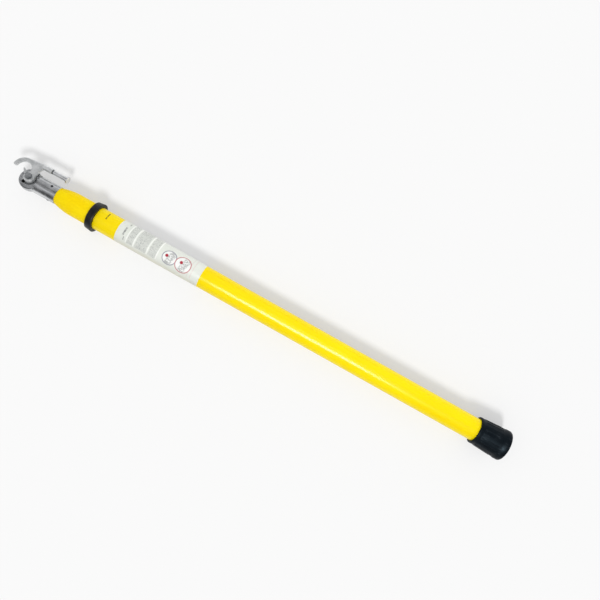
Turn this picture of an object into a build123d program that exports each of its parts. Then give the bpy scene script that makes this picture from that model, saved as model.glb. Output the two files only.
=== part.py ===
from build123d import *
import math
import os

# Telescoping hot stick, collapsed. The origin is the centre of the butt end face on the pole axis,
# +X runs along the pole to the head, +Z is up and the hook lies on the -Y side. Millimetres.

# Clearances and the overrun of cuts
running_gap = 0.3
pin_fit = 0.05
face_gap = 0.1
overrun = 2.0
pick_tolerance = 0.05

# Tubes of the pole
pole_diameter = 62.0
pole_wall = 2.6
inner_wall = 2.2
slide_space = 1.3
pole_end = 1246.0
section_2_stand = 12.0
section_3_stand = 10.0
ferrule_grip = 45.0

# Rubber boot on the butt
cap_length = 88.0
cap_floor = 14.0
cap_mouth_wall = 6.4
cap_lip_length = 9.0
cap_neck_wall = 6.0
cap_shoulder_wall = 9.6
cap_shoulder_place = 22.0
cap_foot_wall = 11.0
cap_foot_width = 14.0
cap_edge_radius = 3.0
cap_rib_count = 20
cap_rib_width = 5.0
cap_rib_height = 0.8
bumper_thickness = 6.0
drain_diameter = 8.0

# Printed wrap and the ring at the top of the pole
wrap_setback = 330.0
wrap_length = 247.0
wrap_thickness = 0.25
wrap_glue = 0.06
collar_width = 19.0
collar_back_wall = 9.7
collar_front_wall = 7.0
collar_edge = 1.6

# Guide bushes in the tube mouths
bush_length = 30.0
bush_flange = 2.0

# Lower shoes, lock buttons and their springs
shoe_floor = 4.0
shoe_length = 34.0
button_setback = 17.0
button_diameter = 8.0
button_proud = 1.1
button_crown_radius = 2.4
button_flange_diameter = 12.0
button_flange_thickness = 1.5
spring_length = 9.0
spring_wire = 0.9
spring_coil_diameter = 8.4
spring_turns = 5
lock_setback = 60.0
foam_length = 20.0
foam_setback = 60.0

# Nose
nose_stand = 0.2
nose_end_step = 1.6
nose_skirt_length = 48.7
nose_ogive_length = 53.0
nose_skirt_edge = 1.0
nose_headroom = 2.0

# Metal head
head_roll = 20.0
ferrule_wall = 4.2
ferrule_edge = 0.8
head_disc_stand = 4.7
bolt_reach = 83.5
rosette_plane = 10.0
nut_plane = 10.0
shoulder_setback = 25.5
shoulder_radius = 4.0
head_rim_edge = 1.5
head_under_edge = 4.0
tooth_count = 24
tooth_outer_diameter = 40.0
tooth_inner_diameter = 16.0
tooth_height = 1.2
tooth_gap = 0.1

# Rivets of the ferrule
rivet_count = 3
rivet_setback = 19.5
rivet_angle = 39.0
rivet_diameter = 4.8
rivet_head_diameter = 7.2
rivet_head_seat = 0.7
rivet_head_height = 0.5
rivet_tail_diameter = 6.6
rivet_tail_height = 2.4

# Hook casting, in the plane of the rosette with the bolt at its centre
hub_height = 13.0
hub_diameter = 28.0
hub_top_diameter = 23.0
plate_thickness = 9.0
plate_middle = 7.0
plate_edge_radius = 3.0
hook_centre_along = 24.5
hook_centre_out = 15.0
hook_outer_radius = 31.0
throat_centre_along = 25.6
throat_centre_out = 15.0
throat_radius = 18.8
hook_tip_out = 11.0
hook_tip_radius = 3.6
web_back = 13.2
web_knee_out = 25.0
web_knee_radius = 9.0
web_root_radius = 5.0
throat_root_radius = 2.5
web_heel_along = 17.0
web_heel_out = 35.5
web_crest_out = 51.0
thumb_root_along = 11.0
thumb_root_out = 0.5
thumb_tip_along = 23.6
thumb_tip_out = 14.4
thumb_width = 4.6
thumb_thickness = 5.0

# Prong behind the hook
prong_out = 44.4
prong_diameter = 12.7
prong_boss_diameter = 15.2
prong_boss_start = 12.0
prong_boss_end = 40.0
prong_seat_depth = 16.0
prong_end = 86.5
prong_disc_diameter = 21.0
prong_disc_thickness = 3.6
prong_disc_edge = 0.8

# Clamp bolt, washers and wing nut
bolt_diameter = 9.5
bolt_head_flats = 14.3
bolt_head_height = 6.2
bolt_tail = 29.0
bolt_tip_chamfer = 1.2
washer_diameter = 19.0
washer_thickness = 1.6
lock_washer_diameter = 16.4
lock_washer_thickness = 2.2
lock_washer_split = 1.6
lock_washer_split_angle = 30.0
nut_turn = 27.0
nut_base_diameter = 18.0
nut_top_diameter = 15.0
nut_height = 9.5
wing_reach = 23.0
wing_tip_radius = 6.0
wing_rise = 13.0
wing_thickness = 3.4
wing_edge_radius = 1.2

# Radii that follow
pole_radius = pole_diameter / 2
pole_bore = pole_radius - pole_wall
section_2_radius = pole_bore - slide_space
section_2_bore = section_2_radius - inner_wall
section_3_radius = section_2_bore - slide_space
section_3_bore = section_3_radius - inner_wall
tip_radius = section_3_bore - slide_space
tip_bore = tip_radius - inner_wall
ferrule_radius = tip_radius + ferrule_wall
ferrule_diameter = 2 * ferrule_radius
head_disc_radius = ferrule_radius + head_disc_stand
nose_radius = pole_radius + nose_stand
bolt_radius = bolt_diameter / 2
prong_radius = prong_diameter / 2

# Places that follow
section_2_start = cap_floor + bumper_thickness + running_gap + shoe_floor
section_3_start = section_2_start + shoe_length + running_gap + shoe_floor
tip_start = section_3_start + shoe_length + running_gap + shoe_floor
section_2_end = pole_end + section_2_stand
section_3_end = section_2_end + section_3_stand
collar_end = pole_end + bush_flange
nose_start = collar_end + running_gap
nose_shoulder = nose_start + nose_skirt_length
ferrule_start = nose_shoulder + nose_ogive_length
tip_end = ferrule_start + ferrule_grip
foam_place = ferrule_start - foam_setback
bolt_place = ferrule_start + bolt_reach
rivet_place = ferrule_start + rivet_setback
wrap_start = pole_end - wrap_setback
button_reach = pole_wall + running_gap + button_proud
hub_base = rosette_plane + tooth_height + tooth_gap
plate_base = hub_base + plate_middle - plate_thickness / 2
plate_top = plate_base + plate_thickness
hub_top = hub_base + hub_height
tooth_pitch = 360 / tooth_count


def turned(points):
    """Solid of revolution about the pole axis, from (place, radius) points."""
    return revolve(make_face(Polyline(*points, close=True)), Axis.X)


def ring(start, end, outer, inner):
    """Plain ring about the pole axis."""
    return turned([(start, inner), (end, inner), (end, outer), (start, outer)])


def soften(face, corner, radius):
    """Round the vertex of a face that lies nearest to a corner."""
    near = face.vertices().sort_by_distance(Vector(*corner))[0]
    return fillet(near, radius)


def down_pin(place, depth, height, radius):
    """Cylinder along -Z under the pole axis, from one depth to a deeper one."""
    return Pos(place, 0, -(depth + height / 2)) * Cylinder(radius, height)


def rolled(shape):
    """Turn a shape from the plane of the rosette into the frame of the pole."""
    return Rot(head_roll, 0, 0) * shape


def at_bolt(shape):
    """Move a shape from the bolt's own centre to its place on the pole."""
    return Pos(bolt_place, 0, 0) * shape


def flat_shape(face, bottom, height):
    """Extrude a face of the rosette's plane between two heights."""
    return extrude(Pos(0, 0, bottom) * face, height)


def write(shape, name):
    """Write one node."""
    export_step(shape, "parts/" + name + ".step")


# Butt cap and the bumper inside the pole

def butt_cap():
    foot = pole_radius + cap_foot_wall
    shoulder = pole_radius + cap_shoulder_wall
    neck = pole_radius + cap_neck_wall
    lip = pole_radius + cap_mouth_wall
    lip_start = cap_length - cap_lip_length
    points = [(0, 0), (0, foot), (cap_foot_width, foot), (cap_shoulder_place, shoulder), (lip_start, neck),
              (lip_start + cap_lip_length / 3, lip), (cap_length, lip), (cap_length, pole_radius),
              (cap_floor, pole_radius), (cap_floor, 0)]
    face = make_face(Polyline(*points, close=True))
    face = soften(face, (0, foot), cap_edge_radius)
    face = soften(face, (cap_foot_width, foot), cap_edge_radius)
    face = soften(face, (cap_length, lip), cap_edge_radius / 2)
    cap = revolve(face, Axis.X)
    slant = math.atan2(shoulder - neck, lip_start - cap_shoulder_place)
    run = math.hypot(shoulder - neck, lip_start - cap_shoulder_place) - 2 * cap_rib_width
    middle = Pos((cap_shoulder_place + lip_start) / 2, 0, (shoulder + neck) / 2)
    rib = Pos(0, 0, cap_rib_height - cap_rib_width / 2) * Rot(0, 90, 0) * Cylinder(cap_rib_width / 2, run)
    rib = middle * Rot(0, math.degrees(slant), 0) * rib
    for k in range(cap_rib_count):
        cap += Rot(k * 360 / cap_rib_count, 0, 0) * rib
    return cap


def butt_bumper():
    return ring(cap_floor, cap_floor + bumper_thickness, pole_bore, drain_diameter / 2)


# Tubes, bushes, shoes, buttons and springs

def tube(start, end, outer, bore, holes):
    """Section tube, drilled underneath for the button it carries and the one it locks."""
    wall = ring(start, end, outer, bore)
    for place in holes:
        wall -= down_pin(place, bore - overrun, outer - bore + 2 * overrun, button_diameter / 2 + pin_fit)
    return wall


def bush(end, bore, outer, passing):
    """Guide bush: a sleeve in a tube's mouth with a flange over its end."""
    inner = passing + running_gap
    return turned([(end - bush_length, inner), (end + bush_flange, inner), (end + bush_flange, outer),
                   (end, outer), (end, bore), (end - bush_length, bore)])


def shoe(start, outer_bore, radius, bore):
    """Shoe on a section's lower end, with the well of its lock button."""
    sleeve = outer_bore - running_gap
    top = start + shoe_length
    body = turned([(start - shoe_floor, 0), (top, 0), (top, bore), (start, bore), (start, radius),
                   (top, radius), (top, sleeve), (start - shoe_floor, sleeve)])
    place = start + button_setback
    well = button_flange_diameter / 2 + running_gap
    floor = spring_floor(bore)
    body -= down_pin(place, floor, bore - floor, well)
    body -= down_pin(place, bore, sleeve - bore + overrun, button_diameter / 2 + pin_fit)
    return body


def spring_floor(bore):
    """Depth of the well's floor below the pole axis."""
    return bore - button_reach - button_flange_thickness - spring_length


def button(start, outer_bore, bore):
    """Lock button, held in by the wall of the tube around it."""
    place = start + button_setback
    base = bore - button_reach
    crown = outer_bore - running_gap
    shank = down_pin(place, base, crown - base, button_diameter / 2)
    shank = fillet(shank.edges().filter_by(GeomType.CIRCLE).sort_by(Axis.Z)[0], button_crown_radius)
    return shank + down_pin(place, base - button_flange_thickness, button_flange_thickness,
                            button_flange_diameter / 2)


def spring(start, bore):
    """Coil spring between the well's floor and the button's flange."""
    height = spring_length - spring_wire - 2 * face_gap
    path = Helix(height / spring_turns, height, spring_coil_diameter / 2)
    wire = Plane(path @ 0, z_dir=path % 0) * Circle(spring_wire / 2)
    coil = sweep(wire, path, is_frenet=True)
    depth = spring_floor(bore) + spring_wire / 2 + face_gap
    return Pos(start + button_setback, 0, -depth) * Rot(180, 0, 0) * coil


# Ring, wrap, foam and nose

def top_collar():
    back = collar_end - collar_width
    corners = [(back, pole_radius + collar_back_wall), (collar_end, pole_radius + collar_front_wall)]
    face = make_face(Polyline((back, pole_radius), *corners, (collar_end, pole_radius), close=True))
    for corner in corners:
        face = soften(face, corner, collar_edge)
    return revolve(face, Axis.X)


def nose():
    """Ogive bell on the tip tube, hollow over the tops of the two middle sections."""
    drop = nose_radius - (ferrule_radius - nose_end_step)
    sweep_radius = (nose_ogive_length ** 2 + drop ** 2) / (2 * drop)
    angle = math.degrees(math.asin(nose_ogive_length / sweep_radius))
    arc = CenterArc((nose_shoulder, nose_radius - sweep_radius), sweep_radius, 90 - angle, angle)
    first_cave = section_2_end + bush_flange + nose_headroom
    second_cave = section_3_end + bush_flange + nose_headroom
    wide = section_2_radius + 2 * running_gap
    narrow = section_3_radius + 2 * running_gap
    rest = Polyline((nose_shoulder, nose_radius), (nose_start, nose_radius), (nose_start, wide),
                    (first_cave, wide), (first_cave, narrow), (second_cave, narrow),
                    (second_cave, tip_radius), (ferrule_start, tip_radius), arc @ 0)
    face = make_face([arc, rest])
    face = soften(face, (nose_start, nose_radius), nose_skirt_edge)
    return revolve(face, Axis.X)


# Metal head

def tooth(inner, outer):
    """One radial tooth whose height grows with the radius, so that its flanks are flat."""
    faces = []
    for radius in (inner, outer):
        half = radius * math.tan(math.radians(tooth_pitch / 2))
        height = tooth_height * 2 * radius / tooth_outer_diameter
        corners = [(radius, -half, 0), (radius, half, 0), (radius, 0, height)]
        faces.append(make_face(Polyline(*corners, close=True)))
    return loft(faces, ruled=True)


def teeth(base, inner, outer):
    """Ring of teeth that stand on a plane."""
    one = tooth(inner, outer)
    return [Pos(0, 0, base) * Rot(0, 0, k * tooth_pitch) * one for k in range(tooth_count)]


def universal_head():
    """Ferrule that ends in a flat tongue and a wider disc with a ring of teeth on its upper face."""
    body = turned([(ferrule_start, tip_radius), (tip_end, tip_radius), (tip_end, 0), (bolt_place, 0),
                   (bolt_place, ferrule_radius), (ferrule_start + ferrule_edge, ferrule_radius),
                   (ferrule_start, ferrule_radius - ferrule_edge)])
    for side, plane in ((1, rosette_plane), (-1, nut_plane)):
        height = ferrule_radius + overrun - plane
        cut = Pos((overrun - shoulder_setback) / 2, 0, side * (plane + height / 2))
        block = cut * Box(shoulder_setback + overrun, 2 * (ferrule_radius + overrun), height)
        inner = block.edges().filter_by(Axis.Y).sort_by(Axis.X)[0:2]
        corner = inner.sort_by(lambda edge: abs(edge.center().Z))[0]
        body -= at_bolt(fillet(corner, shoulder_radius))
    rim = head_disc_radius - head_rim_edge
    under = head_disc_radius - head_under_edge
    disc = make_face(Polyline((0, rosette_plane), (rim, rosette_plane),
                              (head_disc_radius, rosette_plane - head_rim_edge),
                              (head_disc_radius, head_under_edge - nut_plane), (under, -nut_plane),
                              (0, -nut_plane), close=True))
    body += at_bolt(Rot(90, 0, 0) * revolve(disc, Axis.Y))
    for one in teeth(rosette_plane, tooth_inner_diameter / 2, tooth_outer_diameter / 2):
        body += at_bolt(one)
    body -= at_bolt(Cylinder(bolt_radius + pin_fit, 2 * ferrule_diameter))
    body = rolled(body)
    for k in range(rivet_count):
        body -= rivet_turn(k) * rivet_hole()
    return body


def rivet_turn(k):
    """Turn of one rivet about the pole axis; the first leans to the hook side."""
    return Rot(rivet_angle + k * 360 / rivet_count, 0, 0)


def rivet_hole():
    seat = ferrule_radius - rivet_head_seat
    return (Pos(rivet_place, 0, ferrule_radius / 2) * Cylinder(rivet_diameter / 2, ferrule_radius + overrun)
            + Pos(rivet_place, 0, seat + overrun / 2) * Cylinder(rivet_head_diameter / 2, overrun))


def ferrule_rivets():
    """Rivets through the ferrule and the tip tube, as separate solids."""
    seat = ferrule_radius - rivet_head_seat
    tail_face = math.sqrt(tip_bore ** 2 - (rivet_tail_diameter / 2) ** 2)
    head_height = rivet_head_seat + rivet_head_height
    head = Pos(rivet_place, 0, seat + head_height / 2) * Cylinder(rivet_head_diameter / 2, head_height)
    head = fillet(head.edges().filter_by(GeomType.CIRCLE).sort_by(Axis.Z)[-1], rivet_head_height)
    shank = Pos(rivet_place, 0, (seat + tail_face) / 2) * Cylinder(rivet_diameter / 2, seat - tail_face)
    tail = Pos(rivet_place, 0, tail_face - rivet_tail_height / 2) * Cylinder(rivet_tail_diameter / 2,
                                                                             rivet_tail_height)
    rivet = head + shank + tail
    return Compound([rivet_turn(k) * rivet for k in range(rivet_count)])


def drilled_tip_tube():
    wall = tube(tip_start, tip_end, tip_radius, tip_bore, [tip_start + button_setback])
    for k in range(rivet_count):
        wall -= rivet_turn(k) * rivet_hole()
    return wall


# Hook, prong and their fasteners

def disconnect_hook():
    """Casting: toothed hub, web, open hook, thumb and prong boss. The hook side is -Y."""
    web = make_face(Polyline((-web_back, 0), (-web_back, -web_knee_out), (-web_heel_along, -web_heel_out),
                             (-web_heel_along, -web_crest_out),
                             (hook_centre_along, -hook_centre_out - hook_outer_radius),
                             (hook_centre_along, -hook_centre_out), (0, 0), close=True))
    hook = Pos(hook_centre_along, -hook_centre_out) * Circle(hook_outer_radius)
    throat = Pos(throat_centre_along, -throat_centre_out) * Circle(throat_radius)
    reach = 2 * hook_outer_radius
    beyond = Pos(hook_centre_along, -hook_tip_out - reach / 2) * Rectangle(2 * reach, reach)
    outline = web + (hook & beyond) - throat + Circle(hub_diameter / 2)
    tips = [point for point in outline.vertices()
            if point.X > throat_centre_along and abs(point.Y + hook_tip_out) < pick_tolerance]
    outline = fillet(tips, hook_tip_radius)
    outline = soften(outline, (-web_back, -web_knee_out), web_knee_radius)
    outline = soften(outline, (-web_back, -hub_diameter / 4), web_root_radius)
    outline = soften(outline, (hub_diameter / 2, -hub_diameter / 2), throat_root_radius)
    plate = flat_shape(outline, plate_base, plate_thickness)
    rims = plate.edges().filter_by(lambda edge: abs(edge.center().Z - plate_top) < pick_tolerance
                                   or abs(edge.center().Z - plate_base) < pick_tolerance)
    plate = fillet(rims, plate_edge_radius)
    thumb_run = thumb_tip_along - thumb_root_along
    thumb_rise = thumb_tip_out - thumb_root_out
    thumb_length = math.hypot(thumb_run, thumb_rise)
    thumb_angle = -math.degrees(math.atan2(thumb_rise, thumb_run))
    thumb = Pos((thumb_root_along + thumb_tip_along) / 2, -(thumb_root_out + thumb_tip_out) / 2)
    thumb = thumb * Rot(0, 0, thumb_angle) * SlotCenterToCenter(thumb_length, thumb_width)
    middle = hub_base + plate_middle
    thumb = flat_shape(thumb, middle - thumb_thickness / 2, thumb_thickness)
    hub = Pos(0, 0, hub_base + hub_height / 2) * Cone(hub_diameter / 2, hub_top_diameter / 2, hub_height)
    boss_run = prong_boss_end - prong_boss_start
    boss = Pos(-(prong_boss_start + boss_run / 2), -prong_out, middle) * Rot(0, 90, 0)
    boss = boss * Cylinder(prong_boss_diameter / 2, boss_run)
    boss = chamfer(boss.edges().filter_by(GeomType.CIRCLE), prong_disc_edge)
    body = plate + hub + thumb + boss
    for one in teeth(hub_base, tooth_inner_diameter / 2 - running_gap, hub_diameter / 2 + overrun):
        body -= one
    body -= Cylinder(bolt_radius, 2 * ferrule_diameter)
    seat = Pos(-(prong_boss_end - prong_seat_depth / 2 + overrun / 2), -prong_out, middle) * Rot(0, 90, 0)
    body -= seat * Cylinder(prong_radius, prong_seat_depth + overrun)
    return rolled(at_bolt(body))


def prong_rod():
    start = prong_boss_end - prong_seat_depth
    run = prong_end - start
    rod = Pos(-(start + run / 2), -prong_out, hub_base + plate_middle) * Rot(0, 90, 0)
    return rolled(at_bolt(rod * Cylinder(prong_radius, run)))


def prong_disc():
    middle = hub_base + plate_middle
    place = Pos(-(prong_end - prong_disc_thickness / 2), -prong_out, middle) * Rot(0, 90, 0)
    disc = place * Cylinder(prong_disc_diameter / 2, prong_disc_thickness)
    disc = fillet(disc.edges().filter_by(GeomType.CIRCLE), prong_disc_edge)
    return rolled(at_bolt(disc - place * Cylinder(prong_radius, 2 * prong_disc_thickness)))


def bolt_washer():
    disc = Cylinder(washer_diameter / 2, washer_thickness) - Cylinder(bolt_radius, 2 * washer_thickness)
    return rolled(at_bolt(Pos(0, 0, hub_top + washer_thickness / 2) * disc))


def clamp_bolt():
    seat = hub_top + washer_thickness
    corner = bolt_head_flats / math.sqrt(3)
    head = flat_shape(RegularPolygon(corner, 6), seat, bolt_head_height)
    dome = Pos(0, 0, seat) * Cone(corner + bolt_head_height, corner - bolt_tip_chamfer / 2, bolt_head_height,
                                  align=(Align.CENTER, Align.CENTER, Align.MIN))
    shank = Pos(0, 0, (seat - bolt_tail) / 2) * Cylinder(bolt_radius, seat + bolt_tail)
    shank = chamfer(shank.edges().filter_by(GeomType.CIRCLE).sort_by(Axis.Z)[0], bolt_tip_chamfer)
    return rolled(at_bolt((head & dome) + shank))


def lock_washer():
    """Split spring washer under the head."""
    top = -(nut_plane + face_gap)
    disc = Cylinder(lock_washer_diameter / 2, lock_washer_thickness)
    disc -= Cylinder(bolt_radius, 2 * lock_washer_thickness)
    slit = Pos(lock_washer_diameter / 2, 0, 0) * Rot(lock_washer_split_angle, 0, 0)
    disc -= slit * Box(lock_washer_diameter, lock_washer_split, 2 * lock_washer_thickness)
    return rolled(at_bolt(Pos(0, 0, top - lock_washer_thickness / 2) * disc))


def wing_nut():
    """Boss with two wings that rise away from the head."""
    top = nut_plane + 2 * face_gap + lock_washer_thickness
    boss = Pos(0, 0, -nut_height / 2) * Cone(nut_top_diameter / 2, nut_base_diameter / 2, nut_height)
    tip = wing_reach - wing_tip_radius
    lobe = Pos(tip, -wing_rise) * Circle(wing_tip_radius)
    root = Line((0, -wing_thickness / 2), (0, -nut_height))
    wing = extrude(Plane.XZ * make_hull(lobe.edges() + root.edges()), wing_thickness / 2, both=True)
    rims = wing.edges().filter_by(GeomType.CIRCLE)
    wing = fillet(rims, wing_edge_radius)
    nut = boss + wing + Rot(0, 0, 180) * wing
    nut -= Cylinder(bolt_radius + pin_fit, 2 * (wing_rise + wing_reach))
    return rolled(at_bolt(Pos(0, 0, -top) * Rot(0, 0, -nut_turn) * nut))


os.makedirs("parts", exist_ok=True)

write(butt_cap(), "butt_cap")
write(butt_bumper(), "butt_bumper")
write(tube(cap_floor, pole_end, pole_radius, pole_bore, [pole_end - lock_setback]), "base_tube")
wrap_bore = pole_radius + wrap_glue
write(ring(wrap_start, wrap_start + wrap_length, wrap_bore + wrap_thickness, wrap_bore), "label_wrap")
write(top_collar(), "top_collar")
write(bush(pole_end, pole_bore, pole_radius, section_2_radius), "base_bush")

# Each middle section: start, end, its radius and bore, the radius that passes its bush
middle_sections = [
    ("section_2", section_2_start, section_2_end, section_2_radius, section_2_bore, section_3_radius),
    ("section_3", section_3_start, section_3_end, section_3_radius, section_3_bore, tip_radius)]
for name, start, end, radius, bore, passing in middle_sections:
    write(tube(start, end, radius, bore, [end - lock_setback, start + button_setback]), name + "_tube")
    write(bush(end, bore, radius, passing), name + "_bush")

write(drilled_tip_tube(), "tip_tube")

# Each moving section: start, bore around it, its radius and bore
moving_sections = [
    ("section_2", section_2_start, pole_bore, section_2_radius, section_2_bore),
    ("section_3", section_3_start, section_2_bore, section_3_radius, section_3_bore),
    ("tip", tip_start, section_3_bore, tip_radius, tip_bore)]
for name, start, around, radius, bore in moving_sections:
    write(shoe(start, around, radius, bore), name + "_shoe")
    write(button(start, around, bore), name + "_button")
    write(spring(start, bore), name + "_spring")

write(turned([(foam_place, 0), (foam_place + foam_length, 0), (foam_place + foam_length, tip_bore),
              (foam_place, tip_bore)]), "tip_foam_plug")
write(nose(), "nose")
write(universal_head(), "universal_head")
write(ferrule_rivets(), "ferrule_rivets")
write(disconnect_hook(), "disconnect_hook")
write(prong_rod(), "prong_rod")
write(prong_disc(), "prong_disc")
write(bolt_washer(), "bolt_washer")
write(clamp_bolt(), "clamp_bolt")
write(lock_washer(), "lock_washer")
write(wing_nut(), "wing_nut")

# Travels of the sliding sections, from rest to the lock hole
travels = {"section_2": pole_end - lock_setback - section_2_start - button_setback,
           "section_3": section_2_end - lock_setback - section_3_start - button_setback,
           "tip": section_3_end - lock_setback - tip_start - button_setback}
print("travels", travels)
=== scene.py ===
import math

import bpy
from mathutils import Euler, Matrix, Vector


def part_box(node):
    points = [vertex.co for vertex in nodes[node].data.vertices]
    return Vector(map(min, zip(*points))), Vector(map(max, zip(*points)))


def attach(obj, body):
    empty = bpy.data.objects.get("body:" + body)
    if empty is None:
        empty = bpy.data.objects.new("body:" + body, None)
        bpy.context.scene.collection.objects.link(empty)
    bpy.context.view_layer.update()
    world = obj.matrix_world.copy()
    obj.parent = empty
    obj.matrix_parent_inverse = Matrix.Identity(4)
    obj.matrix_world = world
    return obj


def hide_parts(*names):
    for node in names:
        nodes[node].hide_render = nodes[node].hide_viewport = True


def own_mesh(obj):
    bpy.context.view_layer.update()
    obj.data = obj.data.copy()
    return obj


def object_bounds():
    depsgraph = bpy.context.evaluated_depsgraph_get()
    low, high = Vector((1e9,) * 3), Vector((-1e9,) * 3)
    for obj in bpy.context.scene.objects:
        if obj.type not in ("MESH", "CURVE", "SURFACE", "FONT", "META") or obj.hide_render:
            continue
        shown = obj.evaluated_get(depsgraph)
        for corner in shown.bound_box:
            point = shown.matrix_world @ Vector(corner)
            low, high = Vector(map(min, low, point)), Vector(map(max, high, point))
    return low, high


# Collapsed telescoping hot stick. Metres, +X runs along the pole to the head, the hook lies on the -Y side.

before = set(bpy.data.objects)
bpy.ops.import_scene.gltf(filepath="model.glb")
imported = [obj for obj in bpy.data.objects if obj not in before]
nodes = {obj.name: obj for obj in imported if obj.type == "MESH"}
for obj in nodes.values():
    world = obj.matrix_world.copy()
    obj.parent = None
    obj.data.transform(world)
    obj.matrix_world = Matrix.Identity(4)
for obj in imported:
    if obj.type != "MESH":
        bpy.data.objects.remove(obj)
cadLow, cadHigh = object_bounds()
print("frame loaded:", len(nodes), "nodes")


# Shader helpers: a Link wraps one socket, so shader maths reads as plain expressions

class Link:
    def __init__(self, finish, socket):
        self.finish = finish
        self.socket = socket

    def math(self, operation, *others):
        return self.finish.node("ShaderNodeMath", {"operation": operation}, (self, *others))

    def __add__(self, other):
        return self.math("ADD", other)

    def __sub__(self, other):
        return self.math("SUBTRACT", other)

    def __rsub__(self, other):
        return self.finish.node("ShaderNodeMath", {"operation": "SUBTRACT"}, (other, self))

    def __mul__(self, other):
        return self.math("MULTIPLY", other)

    def __gt__(self, other):
        return self.math("GREATER_THAN", other)


class Finish:
    def __init__(self, name):
        self.material = bpy.data.materials.new(name)
        self.material.use_nodes = True
        self.tree = self.material.node_tree
        self.shader = self.tree.nodes["Principled BSDF"]
        self.column = 0

    def node(self, kind, settings=None, values=None, out=0):
        made = self.tree.nodes.new(kind)
        made.location = (-220 * (1 + self.column // 6), 300 - 180 * (self.column % 6))
        self.column += 1
        for key, value in (settings or {}).items():
            setattr(made, key, value)
        pairs = values.items() if isinstance(values, dict) else enumerate(values or ())
        for key, value in pairs:
            self.feed(made.inputs[key], value)
        return Link(self, made.outputs[out])

    def feed(self, socket, value):
        if isinstance(value, Link):
            self.tree.links.new(value.socket, socket)
        elif socket.type == "RGBA":
            socket.default_value = (*value, 1) if len(value) == 3 else value
        else:
            socket.default_value = value

    def place(self):
        return self.node("ShaderNodeTexCoord", out="Object")

    def split(self, vector):
        parts = self.tree.nodes.new("ShaderNodeSeparateXYZ")
        self.feed(parts.inputs[0], vector)
        return [Link(self, output) for output in parts.outputs]

    def stretched(self, scale, turn=(0, 0, 0)):
        return self.node("ShaderNodeMapping", None,
                         {"Vector": self.place(), "Rotation": turn, "Scale": scale})

    def noise(self, vector, scale, detail=3.0, rough=0.5):
        return self.node("ShaderNodeTexNoise", None,
                         {"Vector": vector, "Scale": scale, "Detail": detail, "Roughness": rough})

    def spread(self, value, low, high, toLow=0.0, toHigh=1.0):
        return self.node("ShaderNodeMapRange", {"interpolation_type": "SMOOTHSTEP"},
                         {"Value": value, "From Min": low, "From Max": high,
                          "To Min": toLow, "To Max": toHigh})

    def mixed(self, factor, first, second):
        made = self.tree.nodes.new("ShaderNodeMix")
        made.data_type = "RGBA"
        self.feed(made.inputs["Factor"], factor)
        self.feed(made.inputs[6], first)
        self.feed(made.inputs[7], second)
        return Link(self, made.outputs[2])

    def bump(self, height, strength, distance):
        return self.node("ShaderNodeBump", None,
                         {"Height": height, "Strength": strength, "Distance": distance}, out="Normal")

    def angle(self):
        # turn about the pole from the top towards the hook side, in degrees
        x, y, z = self.split(self.place())
        return x, self.node("ShaderNodeMath", {"operation": "ARCTAN2"}, (0 - y, z)) * (180 / math.pi)

    def done(self, **values):
        for key, value in values.items():
            self.feed(self.shader.inputs[key.replace("_", " ")], value)
        return self.material


def wear(*names):
    # every slot of these nodes gets the material
    def put(material):
        for name in names:
            nodes[name].data.materials.clear()
            nodes[name].data.materials.append(material)
    return put


def near(finish, value, centre, half, edge):
    # 1 inside a band about a centre, soft at its edges
    distance = (value - centre).math("ABSOLUTE")
    return finish.spread(distance, half + edge, half - edge)


# Yellow fibreglass of the pole

poleLook = {
    "yellow": (0.98, 0.775, 0.0),
    "deepYellow": (0.955, 0.715, 0.0),
    "tickColour": (0.11, 0.08, 0.01),
    "tickPlace": 1.2015,
    "tickWidth": 0.0032,
    "tickAngles": (18, 58),
}


def makePoleYellow(name, withTick):
    finish = Finish(name)
    streaks = finish.noise(finish.stretched((1.5, 60, 60)), 4.0, 4.0)
    clouds = finish.noise(finish.stretched((3, 14, 14)), 2.0, 2.0)
    tone = finish.spread(streaks * 0.45 + clouds * 0.55, 0.36, 0.66)
    colour = finish.mixed(tone, poleLook["deepYellow"], poleLook["yellow"])
    if withTick:
        x, angle = finish.angle()
        low, high = poleLook["tickAngles"]
        across = near(finish, x, poleLook["tickPlace"], poleLook["tickWidth"] / 2, 0.0005)
        around = near(finish, angle, (low + high) / 2, (high - low) / 2, 1.5)
        worn = finish.spread(finish.noise(finish.stretched((1, 1, 1)), 260, 3.0), 0.30, 0.46)
        colour = finish.mixed(across * around * worn * 0.85, colour, poleLook["tickColour"])
    scratches = finish.noise(finish.stretched((6, 240, 240)), 8.0, 5.0, 0.6)
    dust = finish.noise(finish.stretched((40, 40, 40)), 3.0, 5.0, 0.65)
    rough = finish.spread(scratches, 0.45, 0.80, 0.17, 0.34) + finish.spread(dust, 0.5, 0.8, 0.0, 0.10)
    wave = finish.noise(finish.stretched((18, 60, 60)), 3.0, 2.0)
    normal = finish.bump(wave * 0.7 + scratches * 0.3, 0.10, 0.0004)
    return finish.done(Base_Color=colour, Roughness=rough, Normal=normal, Specular_IOR_Level=0.18)


wear("base_tube")(makePoleYellow("poleYellow", True))
wear("section_2_tube", "section_3_tube", "tip_tube")(makePoleYellow("innerYellow", False))

# Moulded yellow of the nose, a little duller than the pole

noseLook = {"yellow": (1.0, 0.76, 0.0), "shade": (0.98, 0.71, 0.0)}


def makeNoseYellow():
    finish = Finish("noseYellow")
    clouds = finish.noise(finish.place(), 26.0, 3.0)
    peel = finish.noise(finish.place(), 900.0, 2.0)
    colour = finish.mixed(finish.spread(clouds, 0.35, 0.68), noseLook["shade"], noseLook["yellow"])
    rough = finish.spread(clouds, 0.3, 0.8, 0.36, 0.50)
    return finish.done(Base_Color=colour, Roughness=rough, Normal=finish.bump(peel, 0.12, 0.0002),
                       Specular_IOR_Level=0.07)


wear("nose")(makeNoseYellow())

# Black rubber of the boot and the bumper

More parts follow.
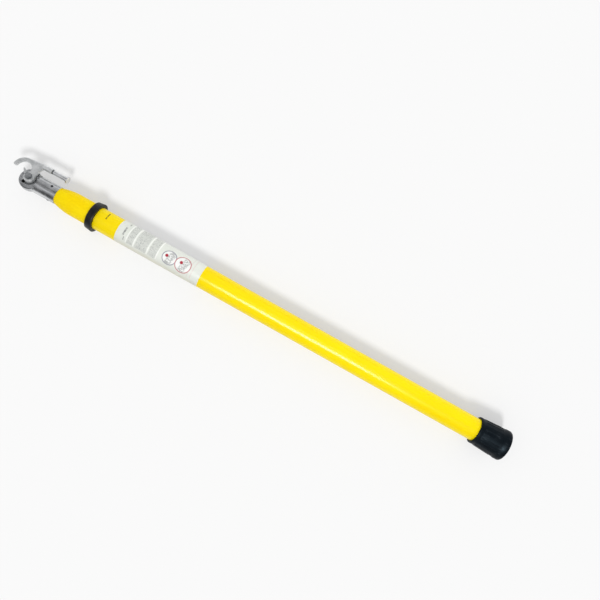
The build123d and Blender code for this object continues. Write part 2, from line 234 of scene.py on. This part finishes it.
rubberLook = {"black": (0.0026, 0.0044, 0.0068), "scuff": (0.050, 0.058, 0.068), "dust": (0.10, 0.11, 0.12)}


def makeRubber():
    finish = Finish("bootRubber")
    streaks = finish.noise(finish.stretched((14, 130, 130)), 2.6, 5.0, 0.62)
    patches = finish.noise(finish.place(), 46.0, 3.0)
    scuffed = finish.spread(streaks, 0.52, 0.78) * finish.spread(patches, 0.40, 0.66)
    specks = finish.spread(finish.noise(finish.place(), 520.0, 2.0), 0.68, 0.78)
    colour = finish.mixed(scuffed, rubberLook["black"], rubberLook["scuff"])
    colour = finish.mixed(specks * 0.5, colour, rubberLook["dust"])
    grain = finish.noise(finish.place(), 1500.0, 3.0)
    rough = finish.spread(patches, 0.3, 0.7, 0.34, 0.52)
    normal = finish.bump(grain * 0.3 + streaks * 0.7, 0.20, 0.0003)
    return finish.done(Base_Color=colour, Roughness=rough, Normal=normal, Specular_IOR_Level=0.13,
                       Specular_Tint=(0.62, 0.85, 1.0, 1.0))


bootRubber = makeRubber()
wear("butt_cap", "butt_bumper")(bootRubber)

# Boot as moulded: softened lips, grip ribs and a grooved foot

bootLook = {
    "floor": 0.014,
    "lipWall": 0.0064,
    "lipLength": 0.009,
    "neckWall": 0.0060,
    "shoulderWall": 0.0096,
    "shoulderPlace": 0.022,
    "footWidth": 0.014,
    "edge": 0.0011,
    "round": 0.0003,
    "ribs": 20,
    "facesPerRib": 8,
    "ribRise": 0.0008,
    "ribInset": 0.0006,
    "ribMargin": 0.004,
    "grooves": (0.034, 0.024, 0.014),
    "grooveWidth": 0.0026,
    "grooveDepth": 0.0012,
}


def turned(name, start, reach, profile, count):
    # one closed ring drawn out along X, ring by ring, as on a lathe
    bpy.ops.object.select_all(action="DESELECT")
    bpy.ops.mesh.primitive_circle_add(vertices=count, radius=reach, fill_type="NGON",
                                      location=(start, 0, 0), rotation=(0, math.pi / 2, 0))
    piece = bpy.context.object
    piece.name = name
    bpy.ops.object.transform_apply(location=True, rotation=True, scale=True)
    bpy.ops.object.mode_set(mode="EDIT")
    bpy.ops.mesh.select_mode(type="EDGE")
    bpy.ops.mesh.select_all(action="SELECT")
    bpy.ops.mesh.region_to_loop()
    place = start
    for nextPlace, nextReach in profile:
        grow = nextReach / reach
        bpy.ops.mesh.extrude_edges_move()
        bpy.ops.transform.translate(value=(nextPlace - place, 0, 0))
        bpy.ops.transform.resize(value=(1, grow, grow), center_override=(0, 0, 0))
        place, reach = nextPlace, nextReach
    bpy.ops.mesh.edge_face_add()
    bpy.ops.mesh.select_all(action="SELECT")
    bpy.ops.mesh.normals_make_consistent(inside=False)
    bpy.ops.mesh.select_all(action="DESELECT")
    bpy.ops.mesh.select_mode(type="FACE")
    bpy.ops.object.mode_set(mode="OBJECT")
    return piece


def makeBoot():
    look = bootLook
    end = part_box("butt_cap")[1]
    foot = end.z
    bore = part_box("base_tube")[1].z
    length = end.x
    edge = look["edge"]
    lip = bore + look["lipWall"]
    neck = bore + look["neckWall"]
    shoulder = bore + look["shoulderWall"]
    lipStart = length - look["lipLength"]
    ribEnd = lipStart - look["ribMargin"]
    ribStart = look["shoulderPlace"] + look["ribMargin"]
    slope = (neck - shoulder) / (lipStart - look["shoulderPlace"])
    profile = [(look["floor"] + edge, bore), (length - edge, bore), (length, bore + edge),
               (length, lip - edge), (length - edge, lip), (lipStart + edge, lip), (lipStart, neck),
               (ribEnd, neck + slope * (ribEnd - lipStart)), (ribStart, shoulder + slope * look["ribMargin"]),
               (look["shoulderPlace"], shoulder), (look["footWidth"] + edge, foot - edge),
               (look["footWidth"] - edge, foot), (2 * edge, foot), (edge / 2, foot - edge / 2),
               (0, foot - 2 * edge)]
    for radius in look["grooves"]:
        inner = radius - look["grooveWidth"]
        profile += [(0, radius), (look["grooveDepth"], radius - edge / 4),
                    (look["grooveDepth"], inner + edge / 4), (0, inner)]
    boot = turned("rubberBoot", look["floor"], bore, profile, look["ribs"] * look["facesPerRib"])
    for face in boot.data.polygons:
        turn = math.atan2(face.center.y, face.center.z) % (2 * math.pi / look["ribs"])
        outside = math.hypot(face.center.y, face.center.z) > neck - edge
        middle = abs(turn * look["ribs"] / (2 * math.pi) - 0.5) < 1.2 / look["facesPerRib"]
        face.select = outside and middle and ribStart < face.center.x < ribEnd
    bpy.ops.object.mode_set(mode="EDIT")
    bpy.ops.mesh.inset(thickness=look["ribInset"], depth=look["ribRise"])
    bpy.ops.object.mode_set(mode="OBJECT")
    rounded = boot.modifiers.new("rounded", "BEVEL")
    rounded.width = look["round"]
    rounded.segments = 2
    rounded.limit_method = "ANGLE"
    rounded.angle_limit = math.radians(28)
    bpy.ops.object.modifier_apply(modifier="rounded")
    bpy.ops.object.shade_smooth_by_angle(angle=math.radians(40))
    boot.data.materials.append(bootRubber)
    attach(boot, "base")
    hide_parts("butt_cap")
    return boot


boot = makeBoot()
print("boot:", len(boot.data.polygons), "faces")

# Satin black nylon of the ring, the bushes and the shoes

nylonLook = {"black": (0.0030, 0.0040, 0.0046), "worn": (0.011, 0.013, 0.014)}


def makeNylon():
    finish = Finish("ringNylon")
    patches = finish.noise(finish.place(), 60.0, 4.0)
    colour = finish.mixed(finish.spread(patches, 0.45, 0.75), nylonLook["black"], nylonLook["worn"])
    grain = finish.noise(finish.place(), 1300.0, 2.0)
    rough = finish.spread(patches, 0.3, 0.7, 0.36, 0.50)
    return finish.done(Base_Color=colour, Roughness=rough, Normal=finish.bump(grain, 0.15, 0.0002),
                       Specular_IOR_Level=0.3)


wear("top_collar", "base_bush", "section_2_bush", "section_3_bush",
     "section_2_shoe", "section_3_shoe", "tip_shoe")(makeNylon())

# White printed wrap: plain grey blocks of bars, bright gaps, and two plain rings with dots

wrapLook = {
    "white": (0.755, 0.785, 0.72),
    "lightWhite": (0.84, 0.85, 0.80),
    # painted shade: the lower side of the wrap is darker and beige
    "lowerShade": (0.700, 0.690, 0.565),
    "lowerShadeAngles": (-28, -74),
    "block": (0.69, 0.71, 0.665),
    "print": (0.27, 0.28, 0.27),
    "rowPitch": 0.0034,
    "gaps": (1.1305, 1.1085, 1.0685, 1.0415),
    "gapHalf": 0.0014,
    "gapWhite": (0.93, 0.94, 0.90),
    "blocks": ((1.1120, 1.1275), (1.0720, 1.1050), (1.0445, 1.0650)),
    "blockAngles": (-36, 84),
    "bars": ((1.1430, 0.0022, -8, 36), (1.1385, 0.0016, -30, -12), (1.1400, 0.0014, 52, 74)),
    "tints": ((0.9490, 0.0012), (0.9400, 0.0016)),
    "tintColour": (0.74, 0.66, 0.62),
    "rings": ((1.0090, 5.4, 0.0190, (0.30, 0.30, 0.36), 0.0087, 2.6),
              (0.9692, 7.1, 0.0214, (0.52, 0.16, 0.18), 0.0064, 3.7)),
    "ringHalf": 0.0011,
    "ringWhite": (0.88, 0.89, 0.87),
    "dot": (0.42, 0.015, 0.04),
    "dotRadius": 0.0042,
}


def makeWrap():
    look = wrapLook
    perDegree = math.pi / 180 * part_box("label_wrap")[1].z
    finish = Finish("printedWrap")
    x, angle = finish.angle()
    arc = angle * perDegree
    paper = finish.noise(finish.place(), 30.0, 3.0)
    colour = finish.mixed(finish.spread(paper, 0.3, 0.7) * 0.4, look["white"], look["lightWhite"])
    # painted shade: darker, beige lower side of the wrap
    colour = finish.mixed(finish.spread(angle, *look["lowerShadeAngles"]), colour, look["lowerShade"])
    # rows round the pole, broken into plain dashes
    rows = finish.spread((x * (2 * math.pi / look["rowPitch"])).math("SINE"), -0.75, 0.2)
    dashes = finish.noise(finish.stretched((330, 520, 520)), 1.0, 2.0)
    inked = rows * finish.spread(dashes, 0.47, 0.57)
    patchy = finish.spread(finish.noise(finish.place(), 85.0, 2.0), 0.36, 0.64, 0.42, 0.95)
    low, high = look["blockAngles"]
    around = near(finish, angle, (low + high) / 2, (high - low) / 2, 2.0)
    for start, end in look["blocks"]:
        inside = near(finish, x, (start + end) / 2, (end - start) / 2, 0.0008) * around
        colour = finish.mixed(inside, colour, look["block"])
        colour = finish.mixed(inside * inked * patchy, colour, look["print"])
    for place in look["gaps"]:
        gap = near(finish, x, place, look["gapHalf"], 0.0006) * around
        colour = finish.mixed(gap, colour, look["gapWhite"])
    for place, half, first, last in look["bars"]:
        turn = near(finish, angle, (first + last) / 2, (last - first) / 2, 1.5)
        bar = near(finish, x, place, half, 0.0005) * turn
        colour = finish.mixed(bar * finish.spread(dashes, 0.38, 0.50), colour, look["print"])
    for place, half in look["tints"]:
        tint = near(finish, x, place, half, 0.0008) * finish.spread(dashes, 0.36, 0.50) * around
        colour = finish.mixed(tint * 0.7, colour, look["tintColour"])
    for place, turn, radius, ringColour, dotAlong, dotAround in look["rings"]:
        across = arc - turn * perDegree
        along = x - place
        reach = (along * along + across * across).math("SQRT")
        inner = finish.spread(reach, radius - 0.001, radius - 0.002)
        colour = finish.mixed(inner, colour, look["ringWhite"])
        band = near(finish, along + across * 0.25, -radius * 0.15, 0.0088, 0.0026) * inner
        blots = finish.spread(finish.noise(finish.stretched((230, 260, 260)), 1.0, 2.0), 0.38, 0.54)
        colour = finish.mixed(band * blots * 0.66, colour, look["print"])
        colour = finish.mixed(near(finish, reach, radius, look["ringHalf"], 0.0005), colour, ringColour)
        aside = along - dotAlong
        above = across - dotAround / 1000
        spot = (aside * aside + above * above).math("SQRT")
        dot = finish.spread(spot, look["dotRadius"] + 0.0004, look["dotRadius"] - 0.0004)
        colour = finish.mixed(dot, colour, look["dot"])
    rough = finish.spread(paper, 0.3, 0.7, 0.30, 0.42)
    return finish.done(Base_Color=colour, Roughness=rough, Normal=finish.bump(paper, 0.10, 0.0004),
                       Specular_IOR_Level=0.3)


wear("label_wrap")(makeWrap())

# Polished cast metal of the head

metalLook = {
    "bright": (0.72, 0.73, 0.74),
    "dark": (0.40, 0.41, 0.42),
    # this colour is painted shade, laid between the teeth of the disc and round the prong rod
    "paintedShade": (0.075, 0.082, 0.086),
    "boltPlace": 1.4335,
    "roll": 20,
    "teethMiddle": 0.0162,
    "teethHalf": 0.0022,
    "teethHeight": 0.0088,
    # painted shadow spot in the gap beside the hub, then its colour
    "shadowSpot": (0.0103, 0.0140, 0.0062),
    "shadowSpotColour": (0.004, 0.004, 0.004),
    "collarPlace": 1.3915,
}


def makeHeadMetal():
    finish = Finish("headMetal")
    streaks = finish.noise(finish.stretched((9, 150, 150)), 1.6, 3.0, 0.55)
    stains = finish.noise(finish.place(), 60.0, 4.0)
    tone = finish.spread(streaks * 0.6 + stains * 0.4, 0.36, 0.62)
    colour = finish.mixed(tone, metalLook["dark"], metalLook["bright"])
    # painted shade between the teeth of the disc, broken up by the stains
    x, y, z = finish.split(finish.place())
    roll = math.radians(metalLook["roll"])
    aside = y * math.cos(roll) + z * math.sin(roll)
    height = z * math.cos(roll) - y * math.sin(roll)
    along = x - metalLook["boltPlace"]
    reach = (along * along + aside * aside).math("SQRT")
    teeth = near(finish, reach, metalLook["teethMiddle"], metalLook["teethHalf"], 0.0008)
    patchyShade = finish.spread(stains, 0.30, 0.52, 0.55, 1.0)
    onTop = height > metalLook["teethHeight"]
    colour = finish.mixed(teeth * onTop * patchyShade * 0.62, colour, metalLook["paintedShade"])
    # a painted black shadow spot sits in the gap beside the hub
    shadowSpotAlong, shadowSpotAside, shadowSpotRadius = metalLook["shadowSpot"]
    fromAlong = along - shadowSpotAlong
    fromAside = aside - shadowSpotAside
    depth = (fromAlong * fromAlong + fromAside * fromAside).math("SQRT")
    shadowSpot = finish.spread(depth, shadowSpotRadius, shadowSpotRadius * 0.55)
    colour = finish.mixed(shadowSpot * onTop, colour, metalLook["shadowSpotColour"])
    brushed = finish.noise(finish.stretched((60, 1400, 1400)), 1.0, 3.0)
    rough = finish.spread(stains, 0.3, 0.7, 0.20, 0.34)
    normal = finish.bump(brushed * 0.6 + streaks * 0.4, 0.14, 0.0002)
    return finish.done(Base_Color=colour, Metallic=1.0, Roughness=rough, Normal=normal)


threadLook = {"pitch": 0.0013, "start": 0.0205, "strength": 0.7, "depth": 0.0004}


def makeHookMetal(name, bright, dark, rough, metallic=1.0, paintedShadePlace=None, threaded=False):
    finish = Finish(name)
    stains = finish.noise(finish.place(), 75.0, 5.0, 0.6)
    grain = finish.noise(finish.place(), 1100.0, 3.0)
    dents = finish.node("ShaderNodeTexVoronoi", None, {"Vector": finish.place(), "Scale": 420.0})
    colour = finish.mixed(finish.spread(stains, 0.34, 0.68), dark, bright)
    if paintedShadePlace:
        x, y, z = finish.split(finish.place())
        # painted shade: a dark band round the rod where it enters the boss
        colour = finish.mixed(near(finish, x, paintedShadePlace, 0.0022, 0.0008) * 0.85, colour, metalLook["paintedShade"])
    roughness = finish.spread(stains, 0.3, 0.7, rough, rough + 0.14)
    normal = finish.bump(grain * 0.6 + dents * 0.4, 0.16, 0.0003)
    if threaded:
        # the tail of the bolt, below the wing nut
        look = threadLook
        roll = math.radians(metalLook["roll"])
        x, y, z = finish.split(finish.place())
        down = y * math.sin(roll) - z * math.cos(roll)
        ridges = (down * (2 * math.pi / look["pitch"])).math("SINE") * (down > look["start"])
        normal = finish.bump(ridges, look["strength"], look["depth"])
    return finish.done(Base_Color=colour, Metallic=metallic, Roughness=roughness, Normal=normal)


wear("universal_head")(makeHeadMetal())
wear("disconnect_hook", "wing_nut")(
    makeHookMetal("hookMetal", (0.93, 0.94, 0.94), (0.70, 0.72, 0.72), 0.34, 0.78))
# the prong steel carries a band of painted shade at the collar
wear("prong_rod", "prong_disc")(
    makeHookMetal("prongSteel", (0.92, 0.93, 0.94), (0.70, 0.71, 0.72), 0.22, 0.85, metalLook["collarPlace"]))
wear("clamp_bolt")(
    makeHookMetal("boltSteel", (0.66, 0.68, 0.69), (0.36, 0.37, 0.38), 0.24, threaded=True))
wear("bolt_washer", "lock_washer")(
    makeHookMetal("fastenerSteel", (0.66, 0.68, 0.69), (0.36, 0.37, 0.38), 0.24))
wear("ferrule_rivets")(makeHookMetal("rivetSteel", (0.10, 0.10, 0.11), (0.04, 0.04, 0.045), 0.34))
wear("section_2_spring", "section_3_spring", "tip_spring")(
    makeHookMetal("springWire", (0.70, 0.70, 0.71), (0.40, 0.40, 0.42), 0.24))

# Springs shorten as their buttons are pressed; here each spring only gets a mesh of its own

for section in ("section_2", "section_3", "tip"):
    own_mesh(nodes[section + "_spring"])

# Lock buttons and the foam plug

def makeButton():
    finish = Finish("buttonOrange")
    clouds = finish.noise(finish.place(), 240.0, 3.0)
    colour = finish.mixed(finish.spread(clouds, 0.35, 0.7), (0.72, 0.16, 0.012), (0.84, 0.22, 0.02))
    grain = finish.noise(finish.place(), 1400.0, 2.0)
    return finish.done(Base_Color=colour, Roughness=finish.spread(clouds, 0.3, 0.7, 0.24, 0.38),
                       Normal=finish.bump(grain, 0.1, 0.0002))


def makeFoam():
    finish = Finish("plugFoam")
    cells = finish.node("ShaderNodeTexVoronoi", None, {"Vector": finish.place(), "Scale": 900.0})
    colour = finish.mixed(finish.spread(cells, 0.1, 0.6), (0.42, 0.38, 0.28), (0.66, 0.62, 0.50))
    return finish.done(Base_Color=colour, Roughness=0.85, Normal=finish.bump(cells, 0.4, 0.0005))


wear("section_2_button", "section_3_button", "tip_button")(makeButton())
wear("tip_foam_plug")(makeFoam())
print("materials on the nodes")


# Stage: pale floor, soft lamps and the camera

stageLook = {
    "floorHeight": cadLow.z - 0.0005,
    "floorColour": (0.655, 0.655, 0.655),
    "floorGlow": (0.93, 0.93, 0.93),
    "fill": 0.50,
    "skyColour": (0.97, 0.97, 0.97),
    "skyStrength": 0.80,
    "skyLift": 0.176,
    "mirrored": ((0.0, 0.76), (0.13, 0.74), (0.24, 0.52), (0.34, 0.17), (0.42, 0.24), (0.52, 0.80),
                 (0.69, 0.96), (0.76, 0.46), (0.84, 0.19), (0.93, 0.17), (1.0, 0.56)),
    "sunStrength": 2.85,
    "sunAngle": 15,
    "sunFrom": (-0.40, 0.448, 0.80),
    "key": {"place": (0.45, -0.28, 1.3), "target": (0.45, 0, 0),
            "width": 0.8, "height": 0.5, "power": 7.0},
    "streak": {"place": (0.55, 0.52, 1.9), "target": (0.60, 0, 0),
               "width": 1.15, "height": 0.65, "power": 64},
    "lens": 33.0,
    "cameraPlace": (0.66749, -0.11462, 1.45406),
    "cameraTurn": (-1.58353, 0.56196, -150.67513),
}


def makeFloor():
    bpy.ops.object.select_all(action="DESELECT")
    bpy.ops.mesh.primitive_plane_add(size=30, location=(0.7, 0, stageLook["floorHeight"]))
    floor = bpy.context.object
    floor.name = "floor"
    finish = Finish("floorWhite")
    path = finish.tree.nodes.new("ShaderNodeLightPath")
    seen = Link(finish, path.outputs["Is Camera Ray"]) + Link(finish, path.outputs["Is Glossy Ray"])
    seen = seen + Link(finish, path.outputs["Is Transmission Ray"])
    seen = seen.math("MINIMUM", 1.0)
    finish.done(Base_Color=stageLook["floorColour"], Roughness=1.0, Specular_IOR_Level=0.0)
    glow = finish.tree.nodes.new("ShaderNodeEmission")
    glow.inputs["Color"].default_value = (*stageLook["floorGlow"], 1)
    both = finish.tree.nodes.new("ShaderNodeMixShader")
    finish.feed(both.inputs[0], seen * stageLook["fill"])
    finish.tree.links.new(finish.shader.outputs[0], both.inputs[1])
    finish.tree.links.new(glow.outputs[0], both.inputs[2])
    finish.tree.links.new(both.outputs[0], finish.tree.nodes["Material Output"].inputs["Surface"])
    floor.data.materials.append(finish.material)
    return floor


def makeWorld():
    # the room that polished metal mirrors has a bright ceiling strip and one dark side
    world = bpy.data.worlds.new("studio")
    bpy.context.scene.world = world
    world.use_nodes = True
    tree = world.node_tree
    back = tree.nodes["Background"]
    where = tree.nodes.new("ShaderNodeTexCoord")
    parts = tree.nodes.new("ShaderNodeSeparateXYZ")
    half = tree.nodes.new("ShaderNodeMath")
    half.operation = "MULTIPLY_ADD"
    half.inputs[1].default_value = 0.5
    half.inputs[2].default_value = 0.5
    ramp = tree.nodes.new("ShaderNodeValToRGB")
    while len(ramp.color_ramp.elements) > 1:
        ramp.color_ramp.elements.remove(ramp.color_ramp.elements[-1])
    for k, (place, grey) in enumerate(stageLook["mirrored"]):
        stop = ramp.color_ramp.elements[0] if k == 0 else ramp.color_ramp.elements.new(place)
        stop.position = place
        stop.color = (grey, grey, grey * 1.02, 1)
    path = tree.nodes.new("ShaderNodeLightPath")
    # the camera sees the sky as white as the floor, without more light on the object
    lift = tree.nodes.new("ShaderNodeMath")
    lift.operation = "MULTIPLY_ADD"
    lift.inputs[1].default_value = stageLook["skyLift"]
    lift.inputs[2].default_value = stageLook["skyStrength"]
    tree.links.new(path.outputs["Is Camera Ray"], lift.inputs[0])
    tree.links.new(lift.outputs[0], back.inputs["Strength"])
    both = tree.nodes.new("ShaderNodeMix")
    both.data_type = "RGBA"
    both.inputs[6].default_value = (*stageLook["skyColour"], 1)
    tree.links.new(where.outputs["Generated"], parts.inputs[0])
    tree.links.new(parts.outputs["Y"], half.inputs[0])
    tree.links.new(half.outputs[0], ramp.inputs[0])
    tree.links.new(path.outputs["Is Glossy Ray"], both.inputs["Factor"])
    tree.links.new(ramp.outputs[0], both.inputs[7])
    tree.links.new(both.outputs[2], back.inputs["Color"])


def placeLamp(data, place, target):
    lamp = bpy.data.objects.new(data.name, data)
    lamp.location = place
    lamp.rotation_euler = (Vector(target) - Vector(place)).to_track_quat("-Z", "Y").to_euler()
    lamp.visible_camera = False
    bpy.context.scene.collection.objects.link(lamp)
    return lamp


def makeSoftbox(name, place, target, width, height, power):
    data = bpy.data.lights.new(name, "AREA")
    data.shape = "RECTANGLE"
    data.size = width
    data.size_y = height
    data.energy = power
    return placeLamp(data, place, target)


def lightOnly(lamp, receivers, state):
    # INCLUDE lights the receivers alone, EXCLUDE lights everything else
    group = bpy.data.collections.new(lamp.name + "Receivers")
    for receiver in receivers:
        group.objects.link(receiver)
    for entry in group.collection_objects:
        entry.light_linking.link_state = state
    lamp.light_linking.receiver_collection = group


def makeSun(floor):
    # throws the shadow on the floor
    data = bpy.data.lights.new("sun", "SUN")
    data.energy = stageLook["sunStrength"]
    data.angle = math.radians(stageLook["sunAngle"])
    sun = placeLamp(data, Vector(stageLook["sunFrom"]) * 4, (0, 0, 0))
    sun.visible_glossy = False
    lightOnly(sun, [floor], "INCLUDE")


def makeKey(floor):
    # soft light from above for the object's own shading
    look = stageLook["key"]
    key = makeSoftbox("keySoftbox", look["place"], look["target"], look["width"], look["height"],
                      look["power"])
    key.visible_glossy = False
    lightOnly(key, [floor], "EXCLUDE")


def makeStreak():
    # long lamp whose only work is the streak along the pole and the boot
    look = stageLook["streak"]
    streak = makeSoftbox("streakSoftbox", look["place"], look["target"], look["width"], look["height"],
                         look["power"])
    streak.visible_diffuse = False
    shiny = [nodes[name] for name in ("base_tube", "label_wrap", "top_collar", "nose")]
    lightOnly(streak, [*shiny, boot], "INCLUDE")


def makeCamera():
    data = bpy.data.cameras.new("camera")
    data.lens = stageLook["lens"]
    data.sensor_width = 36
    data.clip_start = 0.02
    camera = bpy.data.objects.new("camera", data)
    camera.location = stageLook["cameraPlace"]
    camera.rotation_euler = Euler([math.radians(turn) for turn in stageLook["cameraTurn"]], "XYZ")
    bpy.context.scene.collection.objects.link(camera)
    bpy.context.scene.camera = camera


floor = makeFloor()
makeWorld()
makeSun(floor)
makeKey(floor)
makeStreak()
makeCamera()
bpy.context.scene.view_settings.view_transform = "Standard"
print("stage set")
